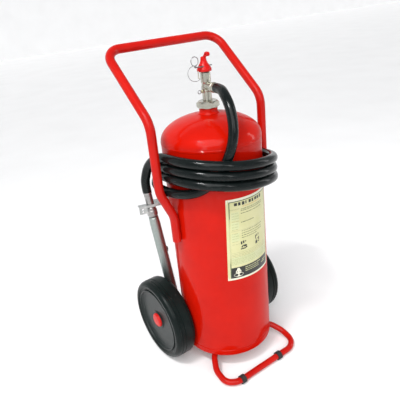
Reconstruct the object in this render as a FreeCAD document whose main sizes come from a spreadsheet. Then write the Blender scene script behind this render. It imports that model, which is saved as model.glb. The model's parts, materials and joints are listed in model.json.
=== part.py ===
import FreeCAD, Part
import math
import os
import Sketcher
from FreeCAD import Placement, Rotation, Vector

# Wheeled powder fire extinguisher, millimetres, +Z up.
# +X is the wheel axle's direction, -Y is the front, where the foot loop stands.
# The origin is on the floor, under the middle of the whole object's box.
# Heights are above the floor; plan positions in the sheet are from the tank's axis,
# which stands at y = tank_y.

doc = FreeCAD.newDocument("wheeled_extinguisher")
dims = doc.addObject("Spreadsheet::Sheet", "dims")

TABLE = [
    ("tank_y", -17.9, "tank axis, y"),
    ("tank_r", 150, "tank outer radius"),
    ("tank_wall", 3, "tank wall"),
    ("rim_z", 55, "base ring, bottom"),
    ("rim_tall", 20, "base ring, height"),
    ("rim_wall", 4, "base ring, thickness"),
    ("seam_z", 764, "top dome seam"),
    ("dome_rise", 71, "top dome rise"),
    ("bottom_rise", 45, "bottom dome rise, turned inwards"),
    ("bead_out", 0.8, "weld bead, proud of the wall"),
    ("neck_r", 27, "neck outer radius"),
    ("neck_bore", 19, "neck bore radius"),
    ("neck_low", 818, "neck boss, bottom"),
    ("neck_top", 852.5, "neck boss, top"),
    ("label_wide", 164.3, "label chord width"),
    ("label_tall", 268, "label height"),
    ("label_z", 478, "label centre"),
    ("label_thick", 0.4, "label thickness"),
    ("label_turn", 4.75, "label centre, turned about the tank axis from straight ahead"),
    ("label_tilt", 2.0, "label tilt"),
    ("siphon_r", 10, "siphon tube radius"),
    ("siphon_low", 140, "siphon tube, bottom"),
    ("nut_low", 849.5, "ring nut, bottom"),
    ("nut_tall", 21, "ring nut, height"),
    ("nut_flat", 29, "ring nut, half across flats"),
    ("nut_corner", 32, "ring nut, chamfer radius"),
    ("flange_z", 856.5, "valve flange, bottom"),
    ("flange_r", 25, "valve flange radius"),
    ("stem_r", 13.5, "valve column radius"),
    ("head_r", 14.5, "valve head radius"),
    ("head_z", 903, "valve head, bottom"),
    ("head_top", 950, "valve head, top"),
    ("outlet_z", 911, "outlet height"),
    ("outlet_turn", -6, "outlet, turned from straight ahead"),
    ("outlet_r", 12, "outlet radius"),
    ("outlet_len", 36, "outlet length from the valve axis"),
    ("coupling_r", 14.6, "hose coupling radius"),
    ("coupling_len", 18, "hose coupling length"),
    ("rod_r", 4, "valve stem radius"),
    ("rod_low", 886, "valve stem, lower end"),
    ("rod_top", 957, "valve stem, top"),
    ("seal_r", 8.4, "stem seal radius"),
    ("guide_gap", 0.06, "running clearance, radial"),
    ("pivot_z", 966, "lever pivot height"),
    ("pivot_r", 2.5, "lever pin radius"),
    ("skirt_r", 21, "lever skirt radius"),
    ("skirt_z", 953, "lever skirt, bottom"),
    ("skirt_in", 16, "lever skirt, inner radius"),
    ("ear_in", 5.4, "valve ear, inner face"),
    ("ear_thick", 3.6, "valve ear thickness"),
    ("ear_half", 6.5, "valve ear half width and top radius"),
    ("web_half", 4.9, "lever cam half thickness"),
    ("pin_r", 1.6, "safety pin radius"),
    ("pin_y", -11.5, "safety pin, in front of the pivot"),
    ("pin_z", 968, "safety pin height"),
    ("ring_r", 12, "pull ring radius"),
    ("ring_wire", 1.1, "pull ring wire radius"),
    ("relief_z", 898, "relief valve height"),
    ("hose_r", 14, "hose radius"),
    ("tube_r", 13.45, "handle tube radius"),
    ("tube_wall", 2.3, "handle tube wall"),
    ("tube_y", -4.5, "handle tubes, y"),
    ("tube_x", 201, "handle tubes, x of the upper run"),
    ("weld_x", 163.5, "handle tubes, x of the welded run"),
    ("tube_low", 474, "handle tube, lower end"),
    ("bend_low", 556, "handle tube, lower bend"),
    ("bend_mid", 642, "handle tube, upper bend"),
    ("bend_top", 846, "handle tube, shoulder bend"),
    ("bar_y", 204.7, "handle bar, y"),
    ("bar_z", 1028.4, "handle bar, z"),
    ("side_bend", 80, "handle tube, side bend radius"),
    ("shoulder_bend", 68, "handle tube, shoulder bend radius"),
    ("corner_bend", 48, "handle bar, corner bend radius"),
    ("foot_r", 10, "foot tube radius"),
    ("foot_z", 13.3, "foot tube, height at the front"),
    ("foot_y", -193, "foot tube, y of the front bar"),
    ("foot_x", 149, "foot tube, half width"),
    ("foot_ring_r", 13.3, "foot ring radius"),
    ("foot_ring_wide", 16, "foot ring width"),
    ("foot_ring_left", -98.5, "left foot ring, x"),
    ("foot_ring_right", 60.2, "right foot ring, x"),
    ("axle_y", 103, "axle, y"),
    ("axle_z", 141.0, "axle height and wheel radius"),
    ("wheel_in", 154.1, "tyre inner face, x"),
    ("wheel_wide", 73.8, "tyre width"),
    ("spindle_r", 10, "spindle radius"),
    ("rim_r", 117, "wheel disc radius"),
    ("bush_r", 13, "wheel bush radius"),
]
for row, (alias, value, note) in enumerate(TABLE, start=1):
    dims.set("A%d" % row, note)
    dims.set("B%d" % row, str(value))
    dims.setAlias("B%d" % row, alias)
doc.recompute()


class Dim:
    """A size with its value and the sheet expression it comes from."""

    def __init__(self, value, text):
        self.value = value
        self.text = text

    def __add__(self, other):
        o = dim(other)
        return Dim(self.value + o.value, "(%s + %s)" % (self.text, o.text))

    def __radd__(self, other):
        return dim(other) + self

    def __sub__(self, other):
        o = dim(other)
        return Dim(self.value - o.value, "(%s - %s)" % (self.text, o.text))

    def __rsub__(self, other):
        return dim(other) - self

    def __mul__(self, other):
        o = dim(other)
        return Dim(self.value * o.value, "(%s * %s)" % (self.text, o.text))

    def __rmul__(self, other):
        return dim(other) * self

    def __neg__(self):
        return Dim(-self.value, "(-1 * %s)" % self.text)


def dim(x):
    if isinstance(x, Dim):
        return x
    return Dim(float(x), "%.6f" % float(x))


def d(alias):
    return Dim(float(dims.get(alias)), "dims." + alias)


NODES = []


def keep(obj, label):
    """Name a finished sub-part and list it for export."""
    obj.Label = label
    NODES.append(obj)
    return obj


def seat(obj, x=0, y=None, z=0, rot=None):
    """Place an object from the tank's axis; y None means on the axis."""
    px, pz = dim(x), dim(z)
    py = d("tank_y") if y is None else d("tank_y") + y
    obj.Placement = Placement(Vector(px.value, py.value, pz.value), rot or Rotation())
    obj.setExpression("Placement.Base.x", px.text)
    obj.setExpression("Placement.Base.y", py.text)
    obj.setExpression("Placement.Base.z", pz.text)
    return obj


def put(obj, x=0, y=0, z=0, rot=None):
    """Place an object in its parent boolean's own frame."""
    px, py, pz = dim(x), dim(y), dim(z)
    obj.Placement = Placement(Vector(px.value, py.value, pz.value), rot or Rotation())
    obj.setExpression("Placement.Base.x", px.text)
    obj.setExpression("Placement.Base.y", py.text)
    obj.setExpression("Placement.Base.z", pz.text)
    return obj


def plane(body, role):
    for f in body.Origin.OriginFeatures:
        if f.Role == role:
            return f
    raise ValueError(role)


def outline(body, name, role, points):
    """A closed outline of straight lines, each corner held by the sheet."""
    sk = body.newObject("Sketcher::SketchObject", name)
    sk.AttachmentSupport = [(plane(body, role), "")]
    sk.MapMode = "FlatFace"
    pts = [(dim(a), dim(b)) for a, b in points]
    n = len(pts)
    for i in range(n):
        p, q = pts[i], pts[(i + 1) % n]
        sk.addGeometry(Part.LineSegment(Vector(p[0].value, p[1].value, 0),
                                        Vector(q[0].value, q[1].value, 0)), False)
    for i in range(n):
        sk.addConstraint(Sketcher.Constraint("Coincident", i, 2, (i + 1) % n, 1))
    for i, (a, b) in enumerate(pts):
        c = sk.addConstraint(Sketcher.Constraint("DistanceX", -1, 1, i, 1, a.value))
        sk.setExpression("Constraints[%d]" % c, a.text)
        c = sk.addConstraint(Sketcher.Constraint("DistanceY", -1, 1, i, 1, b.value))
        sk.setExpression("Constraints[%d]" % c, b.text)
    return sk


def turned(name, points):
    """A body turned about Z from an (r, z) outline."""
    body = doc.addObject("PartDesign::Body", name)
    sk = outline(body, name + "_profile", "XZ_Plane", points)
    rev = body.newObject("PartDesign::Revolution", name + "_turning")
    rev.Profile = sk
    rev.ReferenceAxis = (sk, ["V_Axis"])
    rev.Angle = 360
    sk.Visibility = False
    return body


def padded(name, role, points, length, both=False):
    """A body padded from an outline in one of its origin planes."""
    body = doc.addObject("PartDesign::Body", name)
    sk = outline(body, name + "_profile", role, points)
    pad = body.newObject("PartDesign::Pad", name + "_pad")
    pad.Profile = sk
    pad.Midplane = both
    pad.Length = dim(length).value
    pad.setExpression("Length", dim(length).text)
    return body


def cylinder(name, r, tall, angle=None):
    c = doc.addObject("Part::Cylinder", name)
    c.setExpression("Radius", dim(r).text)
    c.setExpression("Height", dim(tall).text)
    if angle is not None:
        c.Angle = angle
    return c


def block(name, x, y, z):
    b = doc.addObject("Part::Box", name)
    b.setExpression("Length", dim(x).text)
    b.setExpression("Width", dim(y).text)
    b.setExpression("Height", dim(z).text)
    return b


def dome(name, r, rise):
    e = doc.addObject("Part::Ellipsoid", name)
    e.setExpression("Radius1", dim(rise).text)
    e.setExpression("Radius2", dim(r).text)
    e.setExpression("Radius3", dim(r).text)
    e.Angle1 = 0
    e.Angle2 = 90
    e.Angle3 = 360
    return e


def cut(name, base, tool):
    c = doc.addObject("Part::Cut", name)
    c.Base = base
    c.Tool = tool
    return c


def fuse(name, shapes):
    f = doc.addObject("Part::MultiFuse", name)
    f.Shapes = shapes
    return f


def group(name, shapes):
    g = doc.addObject("Part::Compound", name)
    g.Links = shapes
    return g


X90 = Rotation(Vector(1, 0, 0), 90)      # +Z turns to -Y
Y90 = Rotation(Vector(0, 1, 0), 90)      # +Z turns to +X
Y270 = Rotation(Vector(0, 1, 0), -90)    # +Z turns to -X


def bent_path(points, radii):
    """Straight runs joined by tangent arcs, with one radius for each inner point."""
    edges = []
    here = points[0]
    for i in range(1, len(points) - 1):
        p = points[i]
        a = (points[i - 1] - p).normalize()
        b = (points[i + 1] - p).normalize()
        turn = math.pi - a.getAngle(b)
        r = radii[i - 1]
        t = r * math.tan(turn / 2)
        start, end = p + a * t, p + b * t
        mid_dir = (a + b).normalize()
        centre = p + mid_dir * (r / math.cos(turn / 2))
        middle = centre - mid_dir * r
        if (start - here).Length > 1e-6:
            edges.append(Part.LineSegment(here, start).toShape())
        edges.append(Part.Arc(start, middle, end).toShape())
        here = end
    edges.append(Part.LineSegment(here, points[-1]).toShape())
    return Part.Wire(edges)


def swept(path, r, start, direction):
    """A round bar of radius r along a wire."""
    ring = Part.Wire([Part.Circle(start, direction, r).toShape()])
    return path.makePipeShell([ring], True, False, 2)


def tube_feature(name, points, radii, r, bore=0):
    """A round tube on a bent path, as a shape feature with its sizes from the sheet."""
    path = bent_path(points, radii)
    start, way = points[0], (points[1] - points[0]).normalize()
    shape = swept(path, r, start, way)
    if bore:
        shape = shape.cut(swept(path, bore, start, way))
    f = doc.addObject("Part::Feature", name)
    f.Shape = shape
    want = math.pi * (r * r - bore * bore) * path.Length
    print("%s: length %.1f, volume %.0f against section x length %.0f"
          % (name, path.Length, shape.Volume, want))
    if abs(shape.Volume - want) > 0.02 * want:
        raise ValueError(name + " volume")
    return f


ty = float(dims.get("tank_y"))

# ---------------------------------------------------------------- tank
R = d("tank_r")
w = d("tank_wall")
shell_low = d("rim_z") + d("rim_tall")
seam = d("seam_z")
bead = d("bead_out")

tank_shell = turned("tank_shell", [
    (R - w, shell_low), (R - 1.2, shell_low), (R, shell_low + 1.8),
    (R, seam - 7), (R + bead, seam - 6), (R + bead, seam - 1), (R, seam), (R - w, seam)])
keep(seat(tank_shell), "tank_shell")

dome_out = put(dome("dome_outside", R, d("dome_rise")))
dome_in = put(dome("dome_inside", R - w, d("dome_rise") - w))
dome_shell = cut("dome_shell", dome_out, dome_in)
dome_hole = put(cylinder("dome_hole", d("neck_r"), 40), 0, 0, 45)
top_dome = cut("top_dome", dome_shell, dome_hole)
keep(seat(top_dome, 0, None, seam), "top_dome")

bottom_out = put(dome("bottom_outside", R - w, d("bottom_rise")))
bottom_in = put(dome("bottom_inside", R - w - w, d("bottom_rise") - w))
bottom_dome = cut("bottom_dome", bottom_out, bottom_in)
keep(seat(bottom_dome, 0, None, shell_low + 2), "bottom_dome")

rz = d("rim_z")
base_ring = turned("base_ring", [
    (R - d("rim_wall"), rz), (R - 1.5, rz), (R, rz + 1.5), (R, shell_low - 1.8),
    (R - 1.2, shell_low), (R - d("rim_wall"), shell_low)])
keep(seat(base_ring), "base_ring")

nr = d("neck_r")
neck_boss = turned("neck_boss", [
    (d("neck_bore"), d("neck_low")), (nr, d("neck_low")), (nr, seam + 70.2), (nr + 4.5, seam + 70.0),
    (nr + 1.2, seam + 74.5), (nr, seam + 76), (nr, d("neck_top")), (d("neck_bore"), d("neck_top"))])
keep(seat(neck_boss), "neck_boss")

# a printed sheet bonded round the front of the tank
sheet_out = put(cylinder("label_outside", R + d("label_thick"), d("label_tall") + 40), 0, 0, -0.5 * d("label_tall") - 20)
sheet_in = put(cylinder("label_inside", R, d("label_tall") + 60), 0, 0, -0.5 * d("label_tall") - 30)
sheet_ring = cut("label_ring", sheet_out, sheet_in)
window = block("label_window", d("label_wide"), 120, d("label_tall"))
tilt = math.radians(float(dims.get("label_tilt")))
hw, hh = float(dims.get("label_wide")) / 2, float(dims.get("label_tall")) / 2
corner = Rotation(Vector(0, 1, 0), float(dims.get("label_tilt"))).multVec(Vector(-hw, -200, -hh))
put(window, corner.x, -200, corner.z, Rotation(Vector(0, 1, 0), float(dims.get("label_tilt"))))
label = doc.addObject("Part::Common", "label")
label.Base = sheet_ring
label.Tool = window
keep(seat(label, 0, None, d("label_z"), Rotation(Vector(0, 0, 1), float(dims.get("label_turn")))), "label")

siphon_tube = turned("siphon_tube", [
    (d("siphon_r") - 1.5, d("siphon_low")), (d("siphon_r"), d("siphon_low")),
    (d("siphon_r"), d("flange_z")), (d("siphon_r") - 1.5, d("flange_z"))])
keep(seat(siphon_tube), "siphon_tube")

# ---------------------------------------------------------------- valve
gasket = doc.addObject("Part::Torus", "neck_gasket")
gasket.Radius1 = 22.5
gasket.Radius2 = 2
keep(seat(gasket, 0, None, d("neck_top") + 2), "neck_gasket")

# six-sided ring nut: a hexagonal pad, bored for the neck and for the valve column, chamfered both ends
flat = d("nut_flat")
k = 2 / math.sqrt(3)
hexagon = [(flat * (k * math.cos(math.radians(a))), flat * (k * math.sin(math.radians(a))))
           for a in range(0, 360, 60)]
ring_nut = padded("ring_nut", "XY_Plane", hexagon, d("nut_tall"))
bore_sk = outline(ring_nut, "ring_nut_bores", "XZ_Plane", [
    (0, -1), (nr + d("guide_gap"), -1), (nr + d("guide_gap"), d("flange_z") - d("nut_low") + 4.3),
    (d("stem_r") + 0.3, d("flange_z") - d("nut_low") + 4.3), (d("stem_r") + 0.3, d("nut_tall") + 1),
    (0, d("nut_tall") + 1)])
groove = ring_nut.newObject("PartDesign::Groove", "ring_nut_boring")
groove.Profile = bore_sk
groove.ReferenceAxis = (bore_sk, ["V_Axis"])
groove.Angle = 360
nc = d("nut_corner")
for tag, a, b, c in (("top", d("nut_tall") - 5, d("nut_tall") + 1, -1), ("bottom", dim(4), dim(-1), 1)):
    ch = outline(ring_nut, "ring_nut_%s_edge" % tag, "XZ_Plane", [
        (nc, a), (nc + 6, a), (nc + 6, b), (nc - 6, b)])
    g = ring_nut.newObject("PartDesign::Groove", "ring_nut_%s_chamfer" % tag)
    g.Profile = ch
    g.ReferenceAxis = (ch, ["V_Axis"])
    g.Angle = 360
keep(seat(ring_nut, 0, None, d("nut_low"), Rotation(Vector(0, 0, 1), -39)), "ring_nut")

fz, sr, hr = d("flange_z"), d("stem_r"), d("head_r")
hz, ht = d("head_z"), d("head_top")
column = turned("valve_turning", [
    (0, fz), (d("flange_r"), fz), (d("flange_r"), fz + 4), (sr, fz + 4), (sr, hz - 7),
    (hr, hz - 5), (hr, hz + 8), (sr - 0.5, hz + 10), (sr - 0.5, hz + 17), (hr, hz + 20),
    (hr, ht - 1), (hr - 1, ht), (0, ht)])
put(column)
outlet_rot = Rotation(Vector(0, 0, 1), float(dims.get("outlet_turn"))) * X90
outlet = put(cylinder("valve_outlet", d("outlet_r"), d("outlet_len")), 0, 0, d("outlet_z"), outlet_rot)
ears = []
for tag, x in (("left", -1 * d("ear_in") - d("ear_thick")), ("right", d("ear_in"))):
    slab = put(block("valve_ear_%s_slab" % tag, d("ear_thick"), 2 * d("ear_half"), d("pivot_z") - ht + 2),
               x, -d("ear_half"), ht - 2)
    top = put(cylinder("valve_ear_%s_top" % tag, d("ear_half"), d("ear_thick")), x, 0, d("pivot_z"), Y90)
    ears += [slab, top]
casting = fuse("valve_casting", [column, outlet] + ears)
gap = d("guide_gap")
bores = fuse("valve_bores", [
    put(cylinder("bore_inlet", 5, 22), 0, 0, fz - 1),
    put(cylinder("bore_chamber", 9, 32), 0, 0, fz + 11.5),
    put(cylinder("bore_seat", 6, 8), 0, 0, fz + 42.5),
    put(cylinder("bore_upper", 8, 24), 0, 0, fz + 47.5),
    put(cylinder("bore_guide", d("rod_r") + gap, 34), 0, 0, fz + 63.5),
    put(cylinder("bore_outlet", 8, 46), 0, 0, d("outlet_z"), outlet_rot),
    put(cylinder("bore_pivot", d("pivot_r"), 40), -20, 0, d("pivot_z"), Y90),
    put(cylinder("bore_relief", 3, 16), -2, 0, d("relief_z"), Y270)])
valve_body = cut("valve_body", casting, bores)
keep(seat(valve_body), "valve_body")

rl, rt = d("rod_low"), d("rod_top")
valve_stem = turned("valve_stem", [
    (0, rl), (3, rl), (3, rl + 3), (8, rl + 3), (8, rl + 6), (d("rod_r"), rl + 6), (d("rod_r"), rt - 1),
    (d("rod_r") - 1, rt), (0, rt)])
keep(seat(valve_stem), "valve_stem")
stem_seal = turned("stem_seal", [
    (d("rod_r"), rl + 6), (d("seal_r"), rl + 6), (d("seal_r"), rl + 13.6), (d("rod_r"), rl + 13.6)])
keep(seat(stem_seal), "stem_seal")

spring_low, spring_high = 869.4, 888.6
helix = Part.makeHelix(4.2, spring_high - spring_low - 1.6, 6.3)
helix.translate(Vector(0, 0, spring_low + 0.8))
coil_wire = Part.Wire(helix.Edges)
section = Part.Wire([Part.Circle(Vector(6.3, 0, spring_low + 0.8), Vector(0, 1, 0), 0.7).toShape()])
stem_spring = doc.addObject("Part::Feature", "stem_spring")
stem_spring.Shape = coil_wire.makePipeShell([section], True, True)
keep(seat(stem_spring), "stem_spring")

# red lever: a bell-shaped skirt over the valve ears, a cam web between them, a neck and a finger eye
pz = d("pivot_z")
kz, kr = d("skirt_z"), d("skirt_r")
bell = put(turned("lever_bell", [
    (0, kz), (kr - 0.6, kz), (kr, kz + 1), (kr, kz + 6), (kr - 2.5, kz + 11), (kr - 6, kz + 16.5),
    (kr - 9.5, kz + 22), (kr - 12, kz + 28), (kr - 12.8, kz + 35), (kr - 13.4, kz + 37.5),
    (kr - 15.8, kz + 39.5), (0, kz + 39.5)]), -2, 0, 0)
hollow = put(turned("lever_hollow", [
    (0, kz - 1), (d("skirt_in"), kz - 1), (d("skirt_in"), kz + 5), (d("skirt_in") - 3, kz + 11),
    (d("skirt_in") - 4.4, kz + 15), (d("skirt_in") - 5.6, kz + 19), (d("skirt_in") - 6.2, kz + 20.2),
    (0, kz + 20.2)]))
bell_shell = cut("lever_shell", bell, hollow)
# the rear of the skirt is cut back so that the lever can swing down over the valve head
rear = put(block("lever_rear_block", 30, 30, 30), -15, 0, kz - 5)
rear_keep = put(cylinder("lever_rear_round", pz - ht - 0.5, 30), -15, 0, pz, Y90)
rear_cut = cut("lever_rear_cut", rear, rear_keep)
rear_limit = put(block("lever_rear_limit", 60, 60, 29), -30, -30, kz - 8)
rear_tool = doc.addObject("Part::Common", "lever_rear_tool")
rear_tool.Base = rear_cut
rear_tool.Tool = rear_limit
bell_open = cut("lever_bell_open", bell_shell, rear_tool)
# two slots in the rear of the skirt, which the valve's ears pass through as the lever swings
slots = []
for tag, x in (("left", -1 * d("ear_in") - d("ear_thick") - 0.5), ("right", d("ear_in") - 0.5)):
    slab = put(block("lever_slot_%s_slab" % tag, d("ear_thick") + 1, 30, 28), x, 0, kz - 5)
    keep_in = put(cylinder("lever_slot_%s_round" % tag, d("ear_half") + 0.4, d("ear_thick") + 3), x - 1, 0, pz, Y90)
    slots.append(cut("lever_slot_%s" % tag, slab, keep_in))
middle = put(block("lever_slot_middle_slab", 10.4, 30, 28), -5.2, 0, kz - 5)
middle_round = put(cylinder("lever_slot_middle_round", 13, 14), -7, 0, pz, Y90)
slots.append(cut("lever_slot_middle", middle, middle_round))
bell_open = cut("lever_bell_slotted", bell_open, fuse("lever_slots", slots))
cam_pts = []
for a in range(-180, 1, 15):
    rad = 8.0 if a <= -90 else 8.0 + 6.0 * (a + 90) / 90.0
    cam_pts.append((rad * math.cos(math.radians(a)), pz + rad * math.sin(math.radians(a))))
cam_pts += [(12.5, pz + 4.5), (9, pz + 9), (-9, pz + 9)]
cam = put(padded("lever_cam", "YZ_Plane", cam_pts, 2 * d("web_half"), True))
arm_path = bent_path([Vector(0, 0, 984), Vector(0, -1, 990), Vector(0, -12, 1000)], [8])
arm = doc.addObject("Part::Feature", "lever_arm")
arm.Shape = swept(arm_path, 4.6, Vector(0, 0, 984), Vector(0, -1, 6).normalize())
knob = doc.addObject("Part::Sphere", "lever_knob")
knob.Radius = 6.4
put(knob, 0, -14, 999.5)
eye = put(cylinder("lever_eye_boss", 6.0, 11), -5.5, -15.5, 999, Y90)
lever_solid = fuse("lever_solid", [bell_open, cam, arm, knob, eye])
lever_holes = fuse("lever_holes", [
    put(cylinder("lever_pin_hole", d("pivot_r") + gap, 50), -25, 0, pz, Y90),
    put(cylinder("lever_eye_hole", 2.6, 20), -10, -15.5, 999, Y90),
    put(cylinder("safety_hole", d("pin_r") + 0.15, 50), -25, d("pin_y"), d("pin_z"), Y90)])
actuating_lever = cut("actuating_lever", lever_solid, lever_holes)
keep(seat(actuating_lever), "actuating_lever")

lever_pin = cylinder("lever_pin", d("pivot_r"), 34)
keep(seat(lever_pin, -17, 0, pz, Y90), "lever_pin")

# safety pin with its round head, and the spring-wire pull ring through the head
pin_bar = put(cylinder("safety_pin_bar", d("pin_r"), 56), -39, 0, 0, Y90)
pin_head = doc.addObject("Part::Sphere", "safety_pin_head")
pin_head.Radius = 3.6
put(pin_head, -40, 0, 2.8)
pin_solid = fuse("safety_pin_solid", [pin_bar, pin_head])
eye_hole = put(cylinder("safety_pin_eye", d("ring_wire"), 10), -40.5, 5, 5, X90)
safety_pin = cut("safety_pin", pin_solid, eye_hole)
keep(seat(safety_pin, 0, d("pin_y"), d("pin_z")), "safety_pin")

ring = doc.addObject("Part::Torus", "pull_ring")
ring.setExpression("Radius1", "dims.ring_r")
ring.setExpression("Radius2", "dims.ring_wire")
ring_x = -40.5
ring_z = 5 + float(dims.get("ring_r"))
keep(seat(ring, ring_x, d("pin_y"), d("pin_z") + ring_z, X90), "pull_ring")

# thin strip that hangs from the lever's side and carries the tether
strip_flat = put(block("strip_flat", 0.8, 5, 22), -24.1, -2.5, 934)
strip_foot = put(block("strip_foot", 6, 5, 0.8), -24.1, -2.5, 934)
strip_top = put(block("strip_top", 1.9, 5, 0.8), -24.1, -2.5, 955.2)
pin_strip = fuse("pin_strip", [strip_flat, strip_foot, strip_top])
keep(seat(pin_strip), "pin_strip")

tether_route = [Vector(-22, -3.4, 933.2), Vector(-31, -8, 931), Vector(-44, -11.5, 931.5), Vector(-58, -11.5, 936),
                Vector(-66, -11.5, 948), Vector(-66, -11.5, 961), Vector(-59.5, -11.5, 970.5), Vector(-48.3, -11.5, 973.2)]
tether_radii = [14, 16, 15, 15, 15, 14]
for i in range(len(tether_radii)):
    p, a, b = tether_route[i + 1], tether_route[i], tether_route[i + 2]
    turn = math.pi - (a - p).getAngle(b - p)
    tether_radii[i] = 0.45 * min((a - p).Length, (b - p).Length) / math.tan(turn / 2)
print("tether arc radii", [round(r, 1) for r in tether_radii])
tether = tube_feature("tether_wire", [v + Vector(0, ty, 0) for v in tether_route], tether_radii, 0.7)
keep(tether, "tether_wire")

relief_valve = turned("relief_valve", [
    (1.2 + gap, 0), (2.9, 0), (2.9, 6.5), (4.4, 6.5), (4.4, 10), (3.2, 11.2), (1.2 + gap, 11.2)])
keep(seat(relief_valve, -8.4, 0, d("relief_z"), Y270), "relief_valve")
relief_loop = doc.addObject("Part::Torus", "relief_loop")
relief_loop.Radius1 = 4.8
relief_loop.Radius2 = 1.1
put(relief_loop, -25.8, 0, 0, X90)
relief_shank = put(cylinder("relief_shank", 1.2, 8.5), -12.5, 0, 0, Y270)
relief_ring = fuse("relief_ring", [relief_loop, relief_shank])
keep(seat(relief_ring, 0, 0, d("relief_z")), "relief_ring")

coupling_bore = put(cylinder("coupling_bore", 8, 30), 0, 0, -5)
coupling_body = put(turned("coupling_turning", [
    (0, 0), (d("coupling_r") - 1, 0), (d("coupling_r"), 1), (d("coupling_r"), 6), (d("coupling_r") - 1.2, 7),
    (d("coupling_r") - 1.2, d("coupling_len")), (0, d("coupling_len"))]))
hose_coupling = cut("hose_coupling", coupling_body, coupling_bore)
out_dir = outlet_rot.multVec(Vector(0, 0, 1))
ol = float(dims.get("outlet_len"))
keep(seat(hose_coupling, ol * out_dir.x, ol * out_dir.y, d("outlet_z"), outlet_rot), "hose_coupling")

# ---------------------------------------------------------------- hose
# One rubber hose: down from the outlet, behind the coil, three turns round the tank inside
# the handle tubes, and down into the lance. Points are from the tank's axis.
hr_ = float(dims.get("hose_r"))
start_len = ol + float(dims.get("coupling_len"))
oz = float(dims.get("outlet_z"))
lead_route = [Vector(start_len * out_dir.x, start_len * out_dir.y, oz),
              Vector((start_len + 25) * out_dir.x, (start_len + 25) * out_dir.y, oz), Vector(-20, -105, 903), Vector(-28, -131, 885), Vector(-35, -150, 859),
              Vector(-42, -163, 828), Vector(-50, -168, 795), Vector(-58, -164.5, 765)]
tail_route = [Vector(-169.5, 8, 740), Vector(-172.5, 33, 733), Vector(-177, 60, 719), Vector(-181, 82, 698),
              Vector(-185.5, 94, 671), Vector(-190.0, 99, 642.9), Vector(-187.3, 99, 615)]


def cord_radii(points, tight):
    out = []
    for i in range(1, len(points) - 1):
        p, a, b = points[i], points[i - 1], points[i + 1]
        turn = math.pi - (a - p).getAngle(b - p)
        out.append(0.45 * min((a - p).Length, (b - p).Length) / math.tan(turn / 2))
    print(tight, "arc radii", [round(r, 1) for r in out])
    return out


shift = Vector(0, ty, 0)
lead = tube_feature("hose_lead", [p + shift for p in lead_route], cord_radii(lead_route, "hose_lead"), hr_)
keep(lead, "hose_lead")
tail = tube_feature("hose_tail", [p + shift for p in tail_route], cord_radii(tail_route, "hose_tail"), hr_)
keep(tail, "hose_tail")

# coil: one closed band, three strands tall, higher on the left, standing out at the front
coil_stations = [  # angle from +X, radius of the band's middle, height of its middle, half height, half width
    (180, 169.5, 690.5, 63, 13.5), (150, 172, 671, 45, 14), (120, 170, 664, 45, 14), (90, 168, 657, 44, 13.5),
    (60, 168, 655, 43, 13.5), (30, 168, 656, 41, 13.5), (0, 167.5, 658, 39, 12), (-30, 176, 659, 42, 14),
    (-60, 184, 673, 43, 14), (-90, 189, 690, 43, 14), (-120, 189, 705, 44, 14), (-150, 179, 693, 62, 14)]
between = []
for one, two in zip(coil_stations, coil_stations[1:] + [(-180,) + coil_stations[0][1:]]):
    between += [one, tuple((m + n) / 2.0 for m, n in zip(one, two))]
rings = []
for a, rad, zc, half, e in between:
    ca, sa = math.cos(math.radians(a)), math.sin(math.radians(a))
    pts2 = [(rad - e, -half + 9), (rad - e + 9, -half), (rad + e - 9, -half), (rad + e, -half + 9),
            (rad + e, half - 9), (rad + e - 9, half), (rad - e + 9, half), (rad - e, half - 9)]
    vs = [Vector(rr * ca, rr * sa, zc + zz) + shift for rr, zz in pts2]
    rings.append(vs)
faces = []
count = len(rings)
for i in range(count):
    p, q = rings[i], rings[(i + 1) % count]
    for j in range(8):
        a0, a1, b0, b1 = p[j], p[(j + 1) % 8], q[j], q[(j + 1) % 8]
        faces.append(Part.Face(Part.makePolygon([a0, a1, b1, a0])))
        faces.append(Part.Face(Part.makePolygon([a0, b1, b0, a0])))
coil_shell = Part.makeShell(faces)
coil_solid = Part.makeSolid(coil_shell)
if coil_solid.Volume < 0:
    coil_solid.reverse()
coil = doc.addObject("Part::Feature", "hose_coil")
coil.Shape = coil_solid
keep(coil, "hose_coil")

# ---------------------------------------------------------------- lance
# hose pipe and collar hang nearly upright; the barrel leans in behind the left wheel
pipe_top, pipe_low = Vector(-187.3, 99, 615), Vector(-180.4, 99, 542.7)


def along(direction):
    return Rotation(Vector(0, 0, 1), direction)


pipe_dir = (pipe_low - pipe_top).normalize()
lance_pipe = cut("lance_pipe",
                 put(turned("lance_pipe_turning", [(0, 0), (13.6, 0), (13.6, 5), (12.4, 6), (12.4, 50), (0, 50)])),
                 put(cylinder("lance_pipe_bore", 8, 60), 0, 0, -5))
keep(seat(lance_pipe, pipe_top.x, pipe_top.y, pipe_top.z, along(pipe_dir)), "lance_pipe")
collar_at = pipe_top + pipe_dir * 50
lance_collar = cut("lance_collar",
                   put(turned("lance_collar_turning", [
                       (0, 0), (13, 0), (15, 2), (15, 11), (16.5, 13), (16.5, 30), (15, 32), (14, 34), (0, 34)])),
                   put(cylinder("lance_collar_bore", 8, 60), 0, 0, -5))
keep(seat(lance_collar, collar_at.x, collar_at.y, collar_at.z, along(pipe_dir)), "lance_collar")
barrel_at = collar_at + pipe_dir * 34
bd = (Vector(-132.5, 137, 243) - barrel_at).normalize()
blen = 352.0
lance_barrel = cut("lance_barrel",
                   put(turned("lance_barrel_turning", [
                       (0, -1.5), (12, -1.5), (15.2, 2), (16.6, 30), (17.4, 200), (17.6, blen), (0, blen)])),
                   put(cylinder("lance_barrel_bore", 9, blen + 40), 0, 0, -10))
keep(seat(lance_barrel, barrel_at.x + bd.x * 3.5, barrel_at.y + bd.y * 3.5, barrel_at.z + bd.z * 3.5, along(bd)),
     "lance_barrel")
nozzle_at = barrel_at + bd * (blen + 3.5)
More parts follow.
